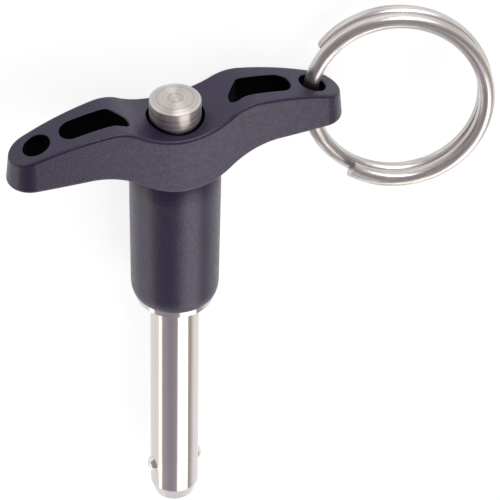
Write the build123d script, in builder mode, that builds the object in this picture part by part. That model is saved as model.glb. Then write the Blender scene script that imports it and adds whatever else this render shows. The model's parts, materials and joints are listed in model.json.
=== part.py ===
from build123d import *
import os
from math import acos, atan2, cos, hypot, pi, radians, sin, sqrt, tan

os.makedirs("parts", exist_ok=True)

# A self-locking ball lock pin with a moulded T-handle, in millimetres.
# Every piece is drawn about the pin's own axis: z up that axis towards the push button with
# z = 0 at the face of the shank's collar, x along the handle's right wing, which carries
# the key ring.
# `lying` then lays the whole pin down, as it rests on a table on its back.

# ---- driving sizes -------------------------------------------------------------------
# shank
shank_radius = 4.0
ball_depth = 36.3            # collar's face to ball centres
nose_length = 6.8            # ball centres to end face
ball_margin = 1.6            # ball centres to the end of the truly cylindrical stretch
end_taper = 0.03             # what the radius loses from there to the lead-in
lead_length = 2.5            # tapered lead-in at the tip
lead_drop = 0.8              # what the lead-in takes off the radius
tip_round = 0.4
shank_bore_radius = 1.95
bore_gap = 0.1               # left below the pressed spindle
head_radius = 5.5            # grooved head that the handle is moulded round
head_length = 10.0
head_groove_depth = 0.6
head_groove_width = 1.6
collar_radius = 6.35         # its face stops the pin in its hole
collar_chamfer = 0.1
collar_height = 1.15
stem_length = 1.5            # between collar and head
stem_step = 0.2              # what the stem's radius lacks to the shank's
moulded_gap = 0.02           # left all round the moulded-in head

# locking balls
ball_radius = 1.5
ball_proud = 0.8             # how far a ball stands out of the shank when locked
ball_sunk = 0.05             # how far it lies below the surface when released
ball_turn = 4.0              # angle from the handle's wings to the ball holes
ball_play = 0.03
stake_length = 0.4           # staked rim that keeps a ball in its hole
stake_gap = 0.03             # between a locked ball and its staked rim

# spindle
spindle_play = 0.05          # running gap in the shank's bore
cam_play = 0.03              # between the balls and the spindle
collar_length = 1.4          # collar that guides the spindle's lower end
rod_gap = 0.1                # between the released balls and the full rod above them
button_stroke = 3.2
press_radius = 1.5           # spindle's top, pressed into the button
press_length = 4.0

# push button
button_radius = 4.2
button_proud = 4.0           # above the middle of the handle's top
button_length = 9.9
crown_width = 1.2            # shallow cone round the flat of the button's top
crown_drop = 0.42
button_edge = 0.12
button_pocket_radius = 3.5   # takes the top of the return spring
button_pocket_depth = 4.2
button_play = 0.4            # to the hole it moves in

# return spring
spring_radius = 2.75         # to the middle of the wire
spring_wire_radius = 0.3
spring_turns = 8
spring_seat_gap = 0.05

# T-handle
handle_top = 36.75           # middle of its top, above the collar's face
valley_radius = 15.0         # hollow of the top round the button
crest_rise = 3.3             # crest above that middle
crest_radius = 7.0
wing_top_radius = 52.0       # slow fall of the top towards each tip
wing_top_start = 6.5         # degrees past the crest where that fall begins
parting_depth = 12.0         # the plan outline is drawn here, below the top, and drafts inwards above it
parting_half_length = 28.85
parting_half_width = 7.35
parting_tip_radius = 4.75
parting_front_radius = 40.0   # slow round of the middle of each long side
parting_side_radius = 300.0   # nearly straight from there to the tip
draft_angle = 5.0
belly_depth = 9.8            # lowest point of the bar's front, on the hub
arch_radius = 13.0           # hollow under each wing
arch_x = 15.0
arch_depth = 4.9
under_slope = 4.3            # degrees that the underside falls from arch to tip
rim_round = 0.5
hub_radius = 7.42
hub_foot_radius = 7.2
hub_round_height = 3.7       # rounded foot of the hub
foot_land = 0.05             # the foot's flat ring stands out this far past the collar
hub_shoulder_depth = 12.5    # where the hub starts to sink into the bar
hub_top_round = 9.0

# openings in the wings
lanyard_inset = 5.55         # from the tip to the hole's middle
lanyard_radius = 2.15
slot_inset = 3.92            # from there to the slot's outer end
slot_web = 3.95              # from the button's hole to the slot's nearest point
slot_half_width = 2.08
slot_nose = 2.45             # the slanted inner end reaches on past the back edge
slot_horn = 0.97             # its front corner reaches further than the front edge
slot_inner_length = 2.3      # from that corner back to where the slant begins
slot_waist = 0.34            # that edge is wider here
slot_end_flat = 0.16         # straight left between the outer end's two corners
slot_corners = (0.9, 2.0, 0.95, 1.5)    # the other four, from the back edge round to the front
opening_round = 0.25

# split ring
ring_radius = 14.25          # to the middle of the wire
ring_wire_radius = 1.28
ring_turn_gap = 0.04         # between its two turns
ring_front_gap = 58.0        # angle by which each end falls short of the hole
ring_rear_gap = 35.7
ring_depth = 2.41            # below the handle's top, where the wire passes the hole's axis
ring_inset = 0.38            # the wire lies this far from the hole's axis, towards the hub
ring_lean = 8.4              # about the line from the hole to the ring's far side
ring_end_length = 0.6        # straight end past that angle, with a rounded rim
ring_end_round = 0.5

# ---- what follows from them ----------------------------------------------------------
shank_length = ball_depth + nose_length
plain_length = ball_depth - ball_margin
stem_radius = shank_radius - stem_step
foot_radius = collar_radius + foot_land
foot_bottom = collar_height + moulded_gap
head_bottom = collar_height + stem_length
head_top = head_bottom + head_length
ball_z = -ball_depth
ball_out = shank_radius + ball_proud - ball_radius
ball_travel = ball_proud + ball_sunk
button_guide_radius = button_radius + button_play
button_top = handle_top + button_proud
button_bottom = button_top - button_length
pocket_top = button_bottom + button_pocket_depth
press_top = pocket_top + press_length
crest_height = handle_top + crest_rise
parting_height = handle_top - parting_depth
belly_height = handle_top - belly_depth
arch_height = handle_top - arch_depth
hub_shoulder_height = handle_top - hub_shoulder_depth
lanyard_x = parting_half_length - lanyard_inset
slot_outer_x = lanyard_x - slot_inset
slot_inner_x = button_guide_radius + slot_web
slot_back_x = slot_inner_x + slot_nose
slot_end_round = slot_half_width - slot_end_flat / 2

# A ball touches the spindle's cone below its own middle. With the button out it touches
# where the cone has this height and radius; higher up the cone narrows by `cam_slope`.
spindle_radius = shank_bore_radius - spindle_play
cam_slope = ball_travel / button_stroke
cam_lean = sqrt(1 + cam_slope**2)
contact_z = ball_z - ball_radius * cam_slope / cam_lean
contact_radius = ball_out - ball_radius / cam_lean - cam_play
neck_radius = ball_out - ball_travel - ball_radius - cam_play
cone_top = contact_z + (contact_radius - neck_radius) / cam_slope
cone_bottom = contact_z - (spindle_radius - contact_radius) / cam_slope
spindle_bottom = cone_bottom - collar_length
rod_bottom = ball_z + ball_radius + button_stroke + rod_gap
bore_bottom = spindle_bottom - button_stroke - bore_gap

# ---- how the pin lies ----------------------------------------------------------------
# It rests on the back of its hub and, rolled over towards the ring's side, on the back edge
# of the right wing. That edge is an arc, and rolling stops where the arc meets the table.
# With a hub slimmer than the bar, the bar's own back would lie on the table instead.
arch_drop = (slot_outer_x - arch_x) * tan(radians(under_slope))
edge_height = arch_height - arch_drop + rim_round
edge_inset = (edge_height - parting_height) * tan(radians(draft_angle))
tip_x = parting_half_length - parting_tip_radius
front_y = parting_front_radius - parting_half_width
side_step = parting_side_radius - parting_front_radius
tip_step = parting_side_radius - parting_tip_radius
tip_distance = hypot(tip_x, front_y)
side_turn_cosine = (tip_distance**2 + side_step**2 - tip_step**2) / (2 * side_step * tip_distance)
side_turn = atan2(tip_x, front_y) - acos(-side_turn_cosine)
edge_radius = parting_side_radius - edge_inset
centre_x = side_step * sin(side_turn)
centre_y = front_y + side_step * cos(side_turn)
centre_distance = hypot(centre_x, centre_y)
table_drop = max(hub_radius, edge_radius - centre_distance)
roll = atan2(centre_x, centre_y) + acos((edge_radius - table_drop) / centre_distance)
lying = Plane(origin=(0, 0, 0), x_dir=(-cos(roll), 0, -sin(roll)), z_dir=(0, -1, 0))

# The ring swings about its hole's axis until its lowest coil, nearly a turn round from the
# hole, touches the table. Its reach below the hole falls steadily as `rise` grows.
ring_pitch = 2 * ring_wire_radius + ring_turn_gap
ring_x = lanyard_x - ring_inset
ring_room = table_drop - ring_wire_radius - ring_x * sin(roll)


def ring_reach(rise):
    tilt = acos(cos(radians(ring_lean)) * cos(rise))
    short_of_turn = atan2(sin(radians(ring_lean)) * cos(rise), sin(rise))
    coil_drop = ring_pitch * (1 - short_of_turn / (2 * pi))
    return ring_radius * (sin(tilt) - sin(rise)) + coil_drop * cos(tilt)


low = radians(-80)
high = radians(80)
for halving in range(40):
    middle = (low + high) / 2
    if ring_reach(middle) > ring_room:
        low = middle
    else:
        high = middle
ring_swing = roll + high


# ---- T-handle: one moulding, bar and hub ----------------------------------------------
# plan outline: front arc, side arcs and tip arcs run into each other without a corner
front_end = Vector(sin(side_turn), cos(side_turn)) * parting_front_radius - Vector(0, front_y)
side_centre = Vector(-centre_x, -centre_y)
tip_centre = Vector(tip_x, 0)
tip_end = tip_centre + (tip_centre - side_centre).normalized() * parting_tip_radius

# top: a hollow round the button, a crest, then a slow fall to the tip
crest_centre_y = crest_height - crest_radius
valley_centre = Vector(0, handle_top + valley_radius)
valley_reach = valley_radius + crest_radius
crest_x = sqrt(valley_reach**2 - (valley_centre.Y - crest_centre_y) ** 2)
crest_centre = Vector(crest_x, crest_centre_y)
valley_end = crest_centre + (valley_centre - crest_centre).normalized() * crest_radius
fall = Vector(sin(radians(wing_top_start)), cos(radians(wing_top_start)))
crest_end = crest_centre + fall * crest_radius
wing_top_centre = crest_centre - fall * (wing_top_radius - crest_radius)
profile_end = parting_half_length + 1
wing_top_end = wing_top_centre.Y + sqrt(wing_top_radius**2 - (profile_end - wing_top_centre.X) ** 2)

# underside: a belly on the hub, an arch, then a straight fall to the tip
arch_centre = Vector(arch_x, arch_height - arch_radius)
belly_rise = belly_height - arch_centre.Y
belly_radius = (arch_x**2 + belly_rise**2 - arch_radius**2) / (2 * (arch_radius - belly_rise))
belly_centre = Vector(0, belly_height + belly_radius)
belly_end = belly_centre + (arch_centre - belly_centre).normalized() * belly_radius
settle = Vector(sin(radians(under_slope)), cos(radians(under_slope)))
arch_end = arch_centre + settle * arch_radius
under_end = arch_end.Y - (profile_end - arch_end.X) * tan(radians(under_slope))

with BuildPart() as t_handle:
    with BuildSketch(Plane.XY.offset(parting_height)):
        with BuildLine():
            ThreePointArc((tip_end.X, -tip_end.Y), (parting_half_length, 0), (tip_end.X, tip_end.Y))
            RadiusArc((tip_end.X, tip_end.Y), (front_end.X, front_end.Y), -parting_side_radius)
            RadiusArc((front_end.X, front_end.Y), (0, parting_half_width), -parting_front_radius)
            RadiusArc((tip_end.X, -tip_end.Y), (front_end.X, -front_end.Y), parting_side_radius)
            RadiusArc((front_end.X, -front_end.Y), (0, -parting_half_width), parting_front_radius)
            mirror(about=Plane.YZ)
        make_face()
    extrude(amount=crest_height + 1 - parting_height, taper=draft_angle)
    with BuildSketch(Plane.XZ):
        with BuildLine():
            RadiusArc((0, handle_top), valley_end, -valley_radius)
            RadiusArc(valley_end, crest_end, crest_radius)
            RadiusArc(crest_end, (profile_end, wing_top_end), wing_top_radius)
            Line((profile_end, wing_top_end), (profile_end, under_end))
            Line((profile_end, under_end), arch_end)
            RadiusArc(arch_end, belly_end, -arch_radius)
            RadiusArc(belly_end, (0, belly_height), belly_radius)
            mirror(about=Plane.YZ)
        make_face()
    extrude(amount=parting_half_width + 1, both=True, mode=Mode.INTERSECT)
    fillet(t_handle.edges().filter_by(GeomType.LINE, reverse=True), rim_round)

    # hub, round at its foot and sinking into the bar at its top
    hub_top = arch_height - rim_round
    hub_top_radius = hub_radius - hub_top_round + sqrt(hub_top_round**2 - (hub_top - hub_shoulder_height) ** 2)
    with BuildSketch(Plane.XZ):
        with BuildLine():
            Line((0, foot_bottom), (foot_radius, foot_bottom))
            EllipticalCenterArc(
                (foot_radius, hub_round_height),
                hub_foot_radius - foot_radius,
                hub_round_height - foot_bottom,
                start_angle=270,
                arc_size=90,
            )
            Line((hub_foot_radius, hub_round_height), (hub_radius, hub_shoulder_height))
            RadiusArc((hub_radius, hub_shoulder_height), (hub_top_radius, hub_top), -hub_top_round)
            Polyline((hub_top_radius, hub_top), (0, hub_top), (0, foot_bottom))
        make_face()
    revolve(axis=Axis.Z)

    # room for the push button above, and for the moulded-in head and neck of the shank
    with BuildSketch(Plane.XY.offset(head_top)):
        Circle(button_guide_radius)
    extrude(amount=crest_height - head_top, mode=Mode.SUBTRACT)
    with BuildSketch(Plane.XY.offset(head_bottom - moulded_gap)):
        Circle(head_radius + moulded_gap)
    extrude(amount=head_length + 2 * moulded_gap, mode=Mode.SUBTRACT)
    with BuildSketch():
        Circle(stem_radius + moulded_gap)
    extrude(amount=head_bottom, mode=Mode.SUBTRACT)

    # lanyard hole and slot through each wing
    with BuildSketch(Plane.XY.offset(belly_height)):
        with Locations((lanyard_x, 0), (-lanyard_x, 0)):
            Circle(lanyard_radius)
        with BuildLine():
            FilletPolyline(
                (slot_outer_x, slot_half_width),
                (slot_back_x, slot_half_width),
                (slot_inner_x, slot_inner_length - slot_half_width - slot_horn),
                (slot_inner_x, -slot_half_width - slot_horn),
                (slot_back_x, -slot_half_width - slot_waist),
                (slot_outer_x, -slot_half_width),
                radius=(slot_end_round, *slot_corners, slot_end_round),
                close=True,
            )
        make_face()
        mirror(about=Plane.YZ)
    extrude(amount=crest_height + 1 - belly_height, mode=Mode.SUBTRACT)
    fillet(t_handle.edges(Select.NEW), opening_round)


# ---- shank: turned, with a blind bore and two ball holes -------------------------------
ball_plane = Plane(
    origin=(0, 0, ball_z),
    x_dir=(cos(radians(ball_turn)), sin(radians(ball_turn)), 0),
    z_dir=(-sin(radians(ball_turn)), cos(radians(ball_turn)), 0),
)
ball_axis = Axis(ball_plane.origin, ball_plane.x_dir)
ball_hole_radius = ball_radius + ball_play
stake_start = shank_radius - stake_length
stake_radius = sqrt(ball_radius**2 - (shank_radius - ball_out) ** 2) + stake_gap

with BuildPart() as shank:
    with BuildSketch(Plane.XZ):
        with BuildLine():
            Polyline(
                (0, -shank_length),
                (shank_radius - lead_drop, -shank_length),
                (shank_radius - end_taper, lead_length - shank_length),
                (shank_radius, -plain_length),
                (shank_radius, 0),
                (collar_radius - collar_chamfer, 0),
                (collar_radius, collar_chamfer),
                (collar_radius, collar_height),
                (stem_radius, collar_height),
                (stem_radius, head_bottom),
                (head_radius, head_bottom),
                (head_radius, head_top),
                (0, head_top),
                close=True,
            )
        make_face()
        with Locations((head_radius, head_bottom + head_length / 3), (head_radius, head_top - head_length / 3)):
            Rectangle(2 * head_groove_depth, head_groove_width, mode=Mode.SUBTRACT)
    revolve(axis=Axis.Z)
    fillet(shank.faces().sort_by(Axis.Z)[0].edges(), tip_round)
    with BuildSketch(Plane.XY.offset(head_top)):
        Circle(shank_bore_radius)
    extrude(amount=bore_bottom - head_top, mode=Mode.SUBTRACT)
    with BuildSketch(ball_plane):
        with BuildLine():
            Polyline(
                (-head_radius, 0),
                (head_radius, 0),
                (head_radius, stake_radius),
                (shank_radius, stake_radius),
                (stake_start, ball_hole_radius),
                (-stake_start, ball_hole_radius),
                (-shank_radius, stake_radius),
                (-head_radius, stake_radius),
                close=True,
            )
        make_face()
    revolve(axis=ball_axis, mode=Mode.SUBTRACT)

# ---- spindle: its cone holds the balls out, its neck lets them in ----------------------
with BuildPart() as spindle:
    with BuildSketch(Plane.XZ):
        with BuildLine():
            Polyline(
                (0, spindle_bottom),
                (spindle_radius, spindle_bottom),
                (spindle_radius, cone_bottom),
                (neck_radius, cone_top),
                (neck_radius, rod_bottom),
                (spindle_radius, rod_bottom),
                (spindle_radius, pocket_top),
                (press_radius, pocket_top),
                (press_radius, press_top),
                (0, press_top),
                close=True,
            )
        make_face()
    revolve(axis=Axis.Z)

# ---- push button: a cup over the spring, pressed on the spindle -------------------------
with BuildPart() as push_button:
    with BuildSketch(Plane.XZ):
        with BuildLine():
            Polyline(
                (0, press_top),
                (press_radius, press_top),
                (press_radius, pocket_top),
                (button_pocket_radius, pocket_top),
                (button_pocket_radius, button_bottom),
                (button_radius, button_bottom),
                (button_radius, button_top - crown_drop),
                (button_radius - crown_width, button_top),
                (0, button_top),
                close=True,
            )
        make_face()
    revolve(axis=Axis.Z)
    rims = push_button.edges().filter_by(GeomType.CIRCLE).group_by(SortBy.RADIUS)[-1]
    fillet(rims.sort_by(Axis.Z)[-1], button_edge)

# ---- return spring: between the shank's head and the button's pocket ---------------------
spring_start = head_top + spring_wire_radius + spring_seat_gap
spring_height = pocket_top - spring_wire_radius - spring_seat_gap - spring_start

with BuildPart() as return_spring:
    with BuildLine():
        coils = Helix(
            pitch=spring_height / spring_turns,
            height=spring_height,
            radius=spring_radius,
            center=(0, 0, spring_start),
        )
    with BuildSketch(Plane(origin=coils @ 0, z_dir=coils % 0)):
        Circle(spring_wire_radius)
    sweep(is_frenet=True)

# ---- locking balls ---------------------------------------------------------------------
with BuildPart() as ball_right:
    with Locations(ball_plane.from_local_coords((ball_out, 0, 0))):
        Sphere(ball_radius)

with BuildPart() as ball_left:
    with Locations(ball_plane.from_local_coords((-ball_out, 0, 0))):
        Sphere(ball_radius)

# ---- split ring: its wire coiled round and round, with turns that touch ------------------
# ring frame: z along the coil's axis, towards the lower turn's far side from the table
swing_out = Vector(cos(ring_swing), -sin(ring_swing), 0)
ring_axis = Vector(
    -sin(ring_swing) * cos(radians(ring_lean)),
    -cos(ring_swing) * cos(radians(ring_lean)),
    sin(radians(ring_lean)),
)
ring_down = swing_out.cross(ring_axis)
ring_centre = Vector(ring_x, 0, handle_top - ring_depth) + swing_out * ring_radius
ring_start = swing_out * -cos(radians(ring_rear_gap)) - ring_down * sin(radians(ring_rear_gap))
ring_coiled = 2 - (ring_front_gap + ring_rear_gap) / 360
ring_frame = Plane(
    origin=ring_centre - ring_axis * ring_pitch * (1 - ring_rear_gap / 360),
    x_dir=ring_start,
    z_dir=ring_axis,
)

with BuildPart() as split_ring:
    with BuildLine():
        coil = Helix(
            pitch=ring_pitch,
            height=ring_pitch * ring_coiled,
            radius=ring_radius,
            lefthand=True,
        )
    with BuildSketch(Plane(origin=coil @ 0, z_dir=coil % 0)):
        Circle(ring_wire_radius)
    sweep(is_frenet=True)
    with BuildSketch(Plane(origin=coil @ 0, z_dir=coil % 0)):
        Circle(ring_wire_radius)
    extrude(amount=-ring_end_length)
    rear_end = split_ring.faces().filter_by(GeomType.PLANE).sort_by_distance(coil @ 0)[0]
    fillet(rear_end.edges(), ring_end_round)

# ---- lay the pin down and write the pieces -----------------------------------------------
for piece in (t_handle, shank, spindle, push_button, return_spring, ball_left, ball_right):
    piece.part.locate(lying.location)
split_ring.part.locate(lying.location * ring_frame.location)

t_handle.part.label = "t_handle"
export_step(t_handle.part, "parts/t_handle.step")
shank.part.label = "shank"
export_step(shank.part, "parts/shank.step")
spindle.part.label = "spindle"
export_step(spindle.part, "parts/spindle.step")
push_button.part.label = "push_button"
export_step(push_button.part, "parts/push_button.step")
return_spring.part.label = "return_spring"
export_step(return_spring.part, "parts/return_spring.step")
ball_left.part.label = "ball_left"
export_step(ball_left.part, "parts/ball_left.step")
ball_right.part.label = "ball_right"
export_step(ball_right.part, "parts/ball_right.step")
split_ring.part.label = "split_ring"
export_step(split_ring.part, "parts/split_ring.step")
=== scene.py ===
import json
import math

import bmesh
import bpy
import numpy as np
from mathutils import Matrix, Vector


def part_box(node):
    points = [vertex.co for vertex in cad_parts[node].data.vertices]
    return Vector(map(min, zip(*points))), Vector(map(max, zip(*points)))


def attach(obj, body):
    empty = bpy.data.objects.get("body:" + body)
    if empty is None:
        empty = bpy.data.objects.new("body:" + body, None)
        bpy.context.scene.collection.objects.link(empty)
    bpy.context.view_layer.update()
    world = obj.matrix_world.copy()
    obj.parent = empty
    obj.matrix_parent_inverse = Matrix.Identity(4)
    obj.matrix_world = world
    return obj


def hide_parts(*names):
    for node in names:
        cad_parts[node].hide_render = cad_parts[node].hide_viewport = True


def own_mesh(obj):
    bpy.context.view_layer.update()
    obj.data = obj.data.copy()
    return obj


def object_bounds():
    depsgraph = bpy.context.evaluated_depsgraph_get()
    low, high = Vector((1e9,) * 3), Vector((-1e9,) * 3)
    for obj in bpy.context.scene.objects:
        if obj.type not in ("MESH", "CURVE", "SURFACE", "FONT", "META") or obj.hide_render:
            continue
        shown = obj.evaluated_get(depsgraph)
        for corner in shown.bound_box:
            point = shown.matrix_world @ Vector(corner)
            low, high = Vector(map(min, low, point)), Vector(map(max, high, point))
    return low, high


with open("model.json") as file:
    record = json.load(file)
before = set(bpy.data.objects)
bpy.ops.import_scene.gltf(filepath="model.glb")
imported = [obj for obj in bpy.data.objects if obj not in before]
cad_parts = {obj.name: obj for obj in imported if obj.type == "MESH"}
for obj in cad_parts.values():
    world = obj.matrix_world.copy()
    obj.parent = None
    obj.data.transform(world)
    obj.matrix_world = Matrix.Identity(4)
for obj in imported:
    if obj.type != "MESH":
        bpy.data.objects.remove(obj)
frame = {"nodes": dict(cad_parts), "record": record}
cadBounds = [list(corner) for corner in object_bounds()]
nodes = frame["nodes"]
millimetre = 0.001
print("frame loaded")


def linear(hexColour, alpha=1.0):
    # sRGB hex text to the linear colour that a shader takes
    parts = [int(hexColour[i:i + 2], 16) / 255 for i in (1, 3, 5)]
    return [p / 12.92 if p <= 0.04045 else ((p + 0.055) / 1.055) ** 2.4 for p in parts] + [alpha]


def addNode(tree, kind, inputs=None, settings=None, stops=()):
    # one node: inputs are values or sockets to link, settings its properties,
    # stops a colour ramp's positions and hex colours
    node = tree.nodes.new(kind)
    for name, value in (settings or {}).items():
        setattr(node, name, value)
    for name, value in (inputs or {}).items():
        if isinstance(value, bpy.types.NodeSocket):
            tree.links.new(value, node.inputs[name])
        else:
            node.inputs[name].default_value = value
    if stops:
        elements = node.color_ramp.elements
        while len(elements) < len(stops):
            elements.new(0.5)
        for element, (position, colour) in zip(elements, stops):
            element.position = position
            element.color = linear(colour)
    return node


# a colour mix has its sockets by number
factor, first, second, mixed = 0, 6, 7, 2
colourMix = {"data_type": "RGBA"}
numberMix = {"data_type": "FLOAT"}

# noise runs from about 0.3 to 0.7, and is stretched from there
noiseSpan = {"From Min": 0.3, "From Max": 0.7}

# the pin's own directions, read from its mounts
mounts = {mount["name"]: mount for mount in frame["record"]["mounts"]}
eye = Vector(mounts["lanyard_eye"]["pos_m"])
along = Vector(mounts["shank"]["axis"])                # to the tip
across = -(eye - along * eye.dot(along)).normalized()  # to the wing with the ring
pinUp = -along                                         # from the tip towards the button
pinBack = pinUp.cross(across)                          # into the table


def pinVector(right, back, up):
    return across * right + pinBack * back + pinUp * up


def newMaterial(name):
    # gives the material, its node tree, its shader and its object coordinates
    material = bpy.data.materials.new(name)
    material.use_nodes = True
    tree = material.node_tree
    place = addNode(tree, "ShaderNodeTexCoord").outputs["Object"]
    return material, tree, tree.nodes["Principled BSDF"], place


# glass-filled nylon, moulded in a spark-eroded tool: satin, almost black, with a fine even grain
handle = {
    "dark": "#100b22",
    "light": "#1e1636",
    "tones": (0.32, 0.68),     # values of the pattern at which it is dark, and light
    "sheen": "#f0e7ff",        # tint of its reflections
    "patch": 5.0,              # mm, soft clouding of the colour
    "grain": 0.33,             # mm, spark-eroded texture, coarser than the real one so that it shows
    "grainShare": 0.45,        # of the colour pattern, the rest is clouding
    "grainDepth": 0.04,        # mm
    "glossPatch": 0.8,         # mm
    "roughness": (0.3, 0.42),
    "ior": 1.6,
    # painted shade: the near-black colour given to the walls of the openings
    "paintedShade": "#010102",          # walls of the openings
    "openings": (8.2, 25.5),   # mm to each side, where the slots and lanyard holes are
    "openingWidth": 6.6,       # mm
    "buttonHole": 4.75,        # mm, radius
    "wallSlope": 0.6,          # a face is a wall while its normal leans less than this along the pin
}


def paintedShadeWalls(tree, place):
    # 1 where shade is painted, else 0: on the walls of the slots and holes, faces that stand along the pin,
    #                                   near the middle
    # of a wing's width and within the openings' reach, and round the button's hole
    near, far = (limit * millimetre for limit in handle["openings"])
    normal = addNode(tree, "ShaderNodeTexCoord").outputs["Normal"]
    dots = [addNode(tree, "ShaderNodeVectorMath", {0: vector, 1: direction}, {"operation": "DOT_PRODUCT"})
            for vector, direction in ((normal, along), (place, across), (place, pinBack))]
    facing, sideways, backwards = (dot.outputs["Value"] for dot in dots)
    aside = addNode(tree, "ShaderNodeMath", {0: sideways}, {"operation": "ABSOLUTE"}).outputs["Value"]
    # each comparison has a value, a middle and how far to either side of it counts
    tests = [addNode(tree, "ShaderNodeMath", {0: value, 1: middle, 2: reach}, {"operation": "COMPARE"})
             for value, middle, reach in (
                 (facing, 0.0, handle["wallSlope"]),
                 (aside, (near + far) / 2, (far - near) / 2),
                 (backwards, 0.0, handle["openingWidth"] * millimetre / 2))]
    upright, amongHoles, inMiddle = (test.outputs["Value"] for test in tests)
    wall = upright
    for inside in (amongHoles, inMiddle):
        both = addNode(tree, "ShaderNodeMath", {0: wall, 1: inside}, {"operation": "MULTIPLY"})
        wall = both.outputs["Value"]
    spot = addNode(tree, "ShaderNodeCombineXYZ", {"X": aside, "Y": backwards}).outputs["Vector"]
    radius = addNode(tree, "ShaderNodeVectorMath", {0: spot}, {"operation": "LENGTH"}).outputs["Value"]
    guide = addNode(tree, "ShaderNodeMath", {0: radius, 1: handle["buttonHole"] * millimetre},
                    {"operation": "LESS_THAN"}).outputs["Value"]
    return addNode(tree, "ShaderNodeMath", {0: wall, 1: guide}, {"operation": "MAXIMUM"}).outputs["Value"]


def mouldedNylon():
    # the grain breaks the soft reflections up, and glass fibres near the skin make pale and dull specks
    material, tree, shader, place = newMaterial("mouldedNylon")
    patterns = [
        addNode(tree, "ShaderNodeTexNoise", {
            "Vector": place, "Scale": 1 / (handle[size] * millimetre), "Detail": detail, "Roughness": rough})
        for size, detail, rough in (("patch", 3.0, 0.5), ("grain", 3.0, 0.6), ("glossPatch", 2.0, 0.5))]
    clouds, grain, gloss = (pattern.outputs["Fac"] for pattern in patterns)
    tone = addNode(tree, "ShaderNodeMix", {
        "Factor": handle["grainShare"], "A": clouds, "B": grain}, numberMix)
    skin = addNode(tree, "ShaderNodeValToRGB", {"Fac": tone.outputs["Result"]},
                   stops=list(zip(handle["tones"], (handle["dark"], handle["light"]))))
    satin = addNode(tree, "ShaderNodeMapRange", {
        "Value": gloss, **noiseSpan, "To Min": handle["roughness"][0], "To Max": handle["roughness"][1]})
    # painted shade: the walls of the slots and holes, and round the button's hole, are coloured dull near
    # black, as shade falls there
    paintedShade = paintedShadeWalls(tree, place)
    colour = addNode(tree, "ShaderNodeMix", {
        factor: paintedShade, first: skin.outputs["Color"], second: linear(handle["paintedShade"])}, colourMix)
    dullness = addNode(tree, "ShaderNodeMix", {
        "Factor": paintedShade, "A": satin.outputs["Result"], "B": 1.0}, numberMix)
    # painted shade: on those walls the reflections are tinted out to black
    sheen = addNode(tree, "ShaderNodeMix", {
        factor: paintedShade, first: linear(handle["sheen"]), second: linear("#000000")}, colourMix)
    relief = addNode(tree, "ShaderNodeBump", {
        "Height": grain, "Distance": handle["grainDepth"] * millimetre, "Strength": 1.0})
    tree.links.new(colour.outputs[mixed], shader.inputs["Base Color"])
    tree.links.new(dullness.outputs["Result"], shader.inputs["Roughness"])
    tree.links.new(sheen.outputs[mixed], shader.inputs["Specular Tint"])
    tree.links.new(relief.outputs["Normal"], shader.inputs["Normal"])
    shader.inputs["IOR"].default_value = handle["ior"]
    return material


def steelFinish(tree, shader, pattern, look):
    # colour, gloss and relief all follow one pattern, as tool marks do; gives the colour back
    tone = addNode(tree, "ShaderNodeValToRGB", {"Fac": pattern},
                   stops=list(zip(look["tones"], look["colour"])))
    gloss = addNode(tree, "ShaderNodeMapRange", {
        "Value": pattern, **noiseSpan, "To Min": look["roughness"][0], "To Max": look["roughness"][1]})
    tree.links.new(gloss.outputs["Result"], shader.inputs["Roughness"])
    shader.inputs["Metallic"].default_value = 1.0
    if "depth" in look:
        relief = addNode(tree, "ShaderNodeBump", {
            "Height": pattern, "Distance": look["depth"] * millimetre, "Strength": 1.0})
        tree.links.new(relief.outputs["Normal"], shader.inputs["Normal"])
    return tone.outputs["Color"]


# stainless steel, ground or turned: line is the spacing of its marks and depth their height, in mm;
# real marks are several times finer, and these are as coarse as they need to show
shankSteel = {
    "colour": ("#c4c0bc", "#d4d0cd"),
    "tones": (0.35, 0.65),
    "roughness": (0.13, 0.2),
    "anisotropic": 0.75,
    "line": 0.12,
    "depth": 0.0006,
}
buttonSteel = {
    "colour": ("#aca5a0", "#d8d3cf"),
    "tones": (0.35, 0.65),
    "roughness": (0.32, 0.46),
    "anisotropic": 0.9,
    "line": 0.24,
    "depth": 0.0018,
}
rodSteel = {
    "colour": ("#b0adaa", "#c8c5c2"),
    "tones": (0.35, 0.65),
    "roughness": (0.16, 0.24),
    "anisotropic": 0.6,
    "line": 0.12,
    "depth": 0.0006,
}
# painted shade between close pieces: its near-black colour, its reach and the openness at which it fades
contactShade = {
    "colour": "#0a0807",
    "reach": 1.2,               # mm, how near another piece has to be
    "openness": (0.42, 0.75),   # share of open sky at which the painted shade is full, and gone
}


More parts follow.
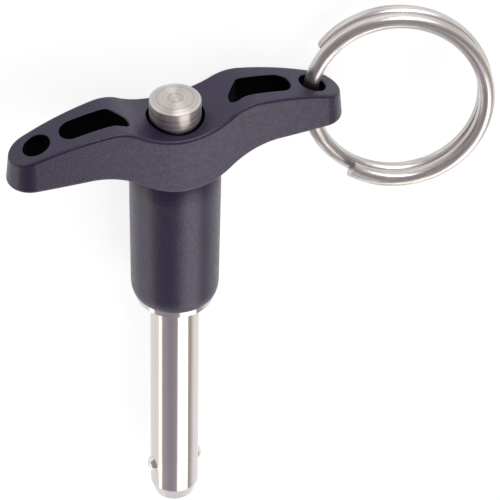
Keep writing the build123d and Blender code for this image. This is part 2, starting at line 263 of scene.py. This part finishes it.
def turnedSteel(name, look, rings):
    # fine lines round the pin's axis draw each reflection out across them
    material, tree, shader, place = newMaterial(name)
    apart = addNode(tree, "ShaderNodeSeparateXYZ", {"Vector": place})
    wide = addNode(tree, "ShaderNodeCombineXYZ", {"X": apart.outputs["X"], "Z": apart.outputs["Z"]})
    radius = addNode(tree, "ShaderNodeVectorMath", {0: wide.outputs["Vector"]}, {"operation": "LENGTH"})
    # lines follow the height along the pin, and on an end face the distance from its middle
    lineAt = addNode(tree, "ShaderNodeCombineXYZ", {
        "X": radius.outputs["Value"] if rings else 0.0, "Y": apart.outputs["Y"]})
    lines = addNode(tree, "ShaderNodeTexNoise", {
        "Vector": lineAt.outputs["Vector"], "Scale": 1 / (look["line"] * millimetre),
        "Detail": 3.0, "Roughness": 0.65}).outputs["Fac"]
    bare = steelFinish(tree, shader, lines, look)
    # painted shade: where another piece stands close round it, the steel's colour is darkened as shade falls
    # there
    nearby = addNode(tree, "ShaderNodeAmbientOcclusion", {
        "Distance": contactShade["reach"] * millimetre}, {"samples": 8})
    unshaded = addNode(tree, "ShaderNodeMapRange", {
        "Value": nearby.outputs["AO"], "From Min": contactShade["openness"][0], "From Max": contactShade["openness"][1]})
    colour = addNode(tree, "ShaderNodeMix", {
        factor: unshaded.outputs["Result"], first: linear(contactShade["colour"]), second: bare}, colourMix)
    tree.links.new(colour.outputs[mixed], shader.inputs["Base Color"])
    shader.inputs["Anisotropic"].default_value = look["anisotropic"]
    shader.inputs["Anisotropic Rotation"].default_value = 0.25    # a quarter turn: across the lines
    tangent = addNode(tree, "ShaderNodeTangent", settings={"direction_type": "RADIAL", "axis": "Y"})
    tree.links.new(tangent.outputs["Tangent"], shader.inputs["Tangent"])
    return material


# spring wire drawn bright through a die, which leaves fine lines along it that fray its bright streaks
wire = {
    "colour": ("#a8a39e", "#dedbd7"),
    "tones": (0.36, 0.62),
    "roughness": (0.38, 0.24),    # dull in the dark lines
    "line": 0.2,                  # mm, coarser than the real ones so that they show
    "depth": 0.007,               # mm
    "stretch": 0.00035,           # metres of pattern to a radian round the ring, so lines run along it
}


def ringFrame():
    # least-squares plane and circle through the ring's points: its middle and its three directions
    mesh = nodes["split_ring"].data
    points = np.empty(len(mesh.vertices) * 3)
    mesh.vertices.foreach_get("co", points)
    points = points.reshape(-1, 3)
    middle = points.mean(axis=0)
    directions = np.linalg.svd(points - middle, full_matrices=False)[2]
    flat = (points - middle) @ directions[:2].T
    fit = np.linalg.lstsq(np.c_[2 * flat, np.ones(len(flat))], (flat ** 2).sum(axis=1), rcond=None)[0]
    axes = np.array([directions[0], directions[1], np.cross(directions[0], directions[1])])
    return middle + fit[:2] @ directions[:2], axes


def drawnWire():
    # the pattern is laid out by distance from the ring's middle and height off its plane
    material, tree, shader, place = newMaterial("drawnWire")
    middle, axes = ringFrame()
    local = addNode(tree, "ShaderNodeMapping", {
        "Vector": place, "Location": middle.tolist(),
        "Rotation": Matrix(axes.tolist()).transposed().to_euler()}, {"vector_type": "TEXTURE"})
    apart = addNode(tree, "ShaderNodeSeparateXYZ", {"Vector": local.outputs["Vector"]})
    x, y, z = (apart.outputs[axis] for axis in "XYZ")
    flat = addNode(tree, "ShaderNodeCombineXYZ", {"X": x, "Y": y})
    radius = addNode(tree, "ShaderNodeVectorMath", {0: flat.outputs["Vector"]}, {"operation": "LENGTH"})
    angle = addNode(tree, "ShaderNodeMath", {0: y, 1: x}, {"operation": "ARCTAN2"})
    roundRing = addNode(tree, "ShaderNodeMath", {
        0: angle.outputs["Value"], 1: wire["stretch"]}, {"operation": "MULTIPLY"})
    lineAt = addNode(tree, "ShaderNodeCombineXYZ", {
        "X": radius.outputs["Value"], "Y": z, "Z": roundRing.outputs["Value"]})
    lines = addNode(tree, "ShaderNodeTexNoise", {
        "Vector": lineAt.outputs["Vector"], "Scale": 1 / (wire["line"] * millimetre),
        "Detail": 3.0, "Roughness": 0.6}).outputs["Fac"]
    tree.links.new(steelFinish(tree, shader, lines, wire), shader.inputs["Base Color"])
    return material


# polished bearing balls, and drawn spring wire: patch is the size of their faint marks in mm
ball = {
    "colour": ("#d6d4d2", "#e2e0de"),
    "tones": (0.35, 0.65),
    "roughness": (0.04, 0.09),
    "patch": 0.6,
}
spring = {
    "colour": ("#96928e", "#b3afab"),
    "tones": (0.35, 0.65),
    "roughness": (0.2, 0.32),
    "patch": 0.25,
    "wire": 0.6,     # mm
    "turns": 8,
    "around": 16,    # points round the wire
    "perTurn": 48,   # points along each turn
}


def plainSteel(name, look):
    # it mirrors clearly, and only faint marks break the reflections
    material, tree, shader, place = newMaterial(name)
    marks = addNode(tree, "ShaderNodeTexNoise", {
        "Vector": place, "Scale": 1 / (look["patch"] * millimetre),
        "Detail": 3.0, "Roughness": 0.5}).outputs["Fac"]
    tree.links.new(steelFinish(tree, shader, marks, look), shader.inputs["Base Color"])
    return material


polishedBall = plainSteel("polishedBall", ball)
springWire = plainSteel("springWire", spring)
finishes = {
    "t_handle": mouldedNylon(),
    "shank": turnedSteel("groundStainless", shankSteel, rings=False),
    "push_button": turnedSteel("turnedStainless", buttonSteel, rings=True),
    "spindle": turnedSteel("groundRod", rodSteel, rings=True),
    "split_ring": drawnWire(),
    "ball_left": polishedBall,
    "ball_right": polishedBall,
    "return_spring": springWire,
}
for name, material in finishes.items():
    for slot in nodes[name].material_slots:
        slot.material = material
print("materials made")


def springCoil():
    # a helix round the pin with a circle of the wire's radius square to it at each step:
    # middle + thick * (cos s * outwards + sin s * sideways), closed by a face at each end
    low, high = (np.array(corner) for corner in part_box("return_spring"))
    thick = spring["wire"] * millimetre / 2
    wide = (high[0] - low[0]) / 2 - thick
    count = spring["turns"] * spring["perTurn"] + 1
    around = spring["around"]
    turn = np.linspace(0, 2 * np.pi * spring["turns"], count)
    rise = np.linspace(low[1] + thick, high[1] - thick, count)
    flat = np.zeros(count)
    climb = np.full(count, (rise[-1] - rise[0]) / turn[-1])
    outwards = np.stack([np.cos(turn), flat, np.sin(turn)], axis=1)
    forwards = np.stack([-wide * np.sin(turn), climb, wide * np.cos(turn)], axis=1)
    forwards /= np.linalg.norm(forwards, axis=1, keepdims=True)
    sideways = np.cross(forwards, outwards)
    middle = outwards * wide + np.stack([flat, rise, flat], axis=1)
    step = np.linspace(0, 2 * np.pi, around, endpoint=False)[None, :, None]
    circle = np.cos(step) * outwards[:, None] + np.sin(step) * sideways[:, None]
    points = (middle[:, None] + thick * circle).reshape(-1, 3)

    start = np.arange(count - 1)[:, None] * around
    here = start + np.arange(around)
    beside = start + (np.arange(around) + 1) % around
    quads = np.stack([here, beside, beside + around, here + around], axis=2).reshape(-1, 4)
    ends = [list(range(around)), list(range(len(points) - around, len(points)))]
    mesh = bpy.data.meshes.new("springCoil")
    mesh.from_pydata(points.tolist(), [], quads.tolist() + ends)
    shell = bmesh.new()
    shell.from_mesh(mesh)
    bmesh.ops.recalc_face_normals(shell, faces=shell.faces)
    shell.to_mesh(mesh)
    shell.free()
    mesh.polygons.foreach_set("use_smooth", [True] * len(mesh.polygons))
    mesh.materials.append(springWire)

    coil = bpy.data.objects.new("springCoil", mesh)
    bpy.context.scene.collection.objects.link(coil)
    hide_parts("return_spring")
    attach(coil, "pin")
    # the button presses it against the shank's head
    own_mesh(coil)


springCoil()
print("spring wound")

studio = {
    # what stands round the table: colour by the angle round the pin, in degrees from straight above
    "surroundings": [
        (-180, "#f8f6f7"), (-84, "#f8f6f7"), (-72, "#c4bcb6"), (-56, "#afa7a2"), (8, "#a7a2a8"),
        (22, "#9a93a2"), (38, "#9a93a2"), (57, "#afaab8"), (66, "#b2a5a6"), (78, "#b5a396"), (180, "#b5a396"),
    ],
    "beyondTip": "#fafcfb",       # what stands past the pin's tip
    "tipReach": (0.73, 0.79),     # how far a direction runs along the pin where that begins, and is full
    "floorColour": "#939393",     # with the glow below, a white light table
    "floorGlow": 0.83,
    "floorRoughness": 0.9,
    "floorHalf": 3.0,             # metres
    "boxes": [
        # direction to the light's middle, distance, width, length along the pin, power, colour
        ((-0.403, 0.555, 0.728), 0.83, 0.57, 0.8, 2.9, "#fffbf6"),
        ((0.8275, 0.555, 0.087), 0.83, 0.184, 0.8, 0.86, "#fff3e8"),
        ((-0.2, -0.95, 0.24), 1.2, 1.1, 0.5, 6.8, "#f8f7ff"),
    ],
}
scene = bpy.context.scene
scene.view_settings.view_transform = "Standard"


def makeWorld():
    world = bpy.data.worlds.new("studio")
    scene.world = world
    world.use_nodes = True
    room = world.node_tree
    direction = addNode(room, "ShaderNodeTexCoord").outputs["Generated"]
    towards = addNode(room, "ShaderNodeSeparateXYZ", {"Vector": direction})
    angle = addNode(room, "ShaderNodeMath", {
        0: towards.outputs["X"], 1: towards.outputs["Z"]}, {"operation": "ARCTAN2"})
    turnShare = addNode(room, "ShaderNodeMapRange", {
        "Value": angle.outputs["Value"], "From Min": -math.pi, "From Max": math.pi})
    walls = addNode(room, "ShaderNodeValToRGB", {"Fac": turnShare.outputs["Result"]}, stops=[
        ((degrees + 180) / 360, colour) for degrees, colour in studio["surroundings"]])
    past = addNode(room, "ShaderNodeMapRange", {
        "Value": towards.outputs["Y"], "From Min": studio["tipReach"][0], "From Max": studio["tipReach"][1]})
    surroundings = addNode(room, "ShaderNodeMix", {
        factor: past.outputs["Result"], first: walls.outputs["Color"],
        second: linear(studio["beyondTip"])}, colourMix)
    room.links.new(surroundings.outputs[mixed], room.nodes["Background"].inputs["Color"])


def makeFloor():
    # a white light table at the height of the pin's lowest point
    height = cadBounds[0][2]
    half = studio["floorHalf"]
    mesh = bpy.data.meshes.new("floor")
    corners = [(x * half, y * half, height) for x, y in ((-1, -1), (1, -1), (1, 1), (-1, 1))]
    mesh.from_pydata(corners, [], [range(4)])
    floor = bpy.data.objects.new("floor", mesh)
    scene.collection.objects.link(floor)
    material, _, shader, _ = newMaterial("paleFloor")
    shader.inputs["Base Color"].default_value = linear(studio["floorColour"])
    shader.inputs["Roughness"].default_value = studio["floorRoughness"]
    shader.inputs["Emission Color"].default_value = linear("#ffffff")
    shader.inputs["Emission Strength"].default_value = studio["floorGlow"]
    mesh.materials.append(material)


def makeLights():
    for index, (direction, distance, width, length, power, colour) in enumerate(studio["boxes"]):
        light = bpy.data.lights.new("softbox%d" % index, "AREA")
        light.shape = "RECTANGLE"
        light.size = width
        light.size_y = length
        light.energy = power
        light.color = linear(colour)[:3]
        box = bpy.data.objects.new(light.name, light)
        toLight = Vector(direction).normalized()
        side = along.cross(toLight).normalized()
        lengthwise = toLight.cross(side)
        turned = Matrix((side, lengthwise, toLight)).transposed().to_4x4()
        box.matrix_world = Matrix.Translation(toLight * distance) @ turned
        scene.collection.objects.link(box)


makeWorld()
makeFloor()
makeLights()
print("studio lit")

view = {
    "turn": 21.24,          # degrees towards the left wing
    "rise": 40.2,           # degrees above the handle's plane
    "tilt": 0.84,           # degrees
    "distance": 0.86616,    # metres, as are the two aims
    "aimRight": 0.0123,
    "aimUp": 0.00698,
    "lens": 381.4,
    "reach": 10,            # metres
}


def makeCamera():
    # back points from the pin to the camera; right and up are the frame's sides after the tilt
    turn, rise, tilt = (math.radians(view[name]) for name in ("turn", "rise", "tilt"))
    back = pinVector(-math.sin(turn) * math.cos(rise), -math.cos(turn) * math.cos(rise), math.sin(rise))
    level = pinVector(math.cos(turn), -math.sin(turn), 0)
    upright = back.cross(level)
    right = level * math.cos(tilt) + upright * math.sin(tilt)
    up = upright * math.cos(tilt) - level * math.sin(tilt)
    camera = bpy.data.objects.new("camera", bpy.data.cameras.new("camera"))
    camera.data.lens = view["lens"]
    camera.data.clip_end = view["reach"]
    place = back * view["distance"] + right * view["aimRight"] + up * view["aimUp"]
    camera.matrix_world = Matrix.Translation(place) @ Matrix((right, up, back)).transposed().to_4x4()
    scene.collection.objects.link(camera)
    scene.camera = camera


makeCamera()
print("camera set")
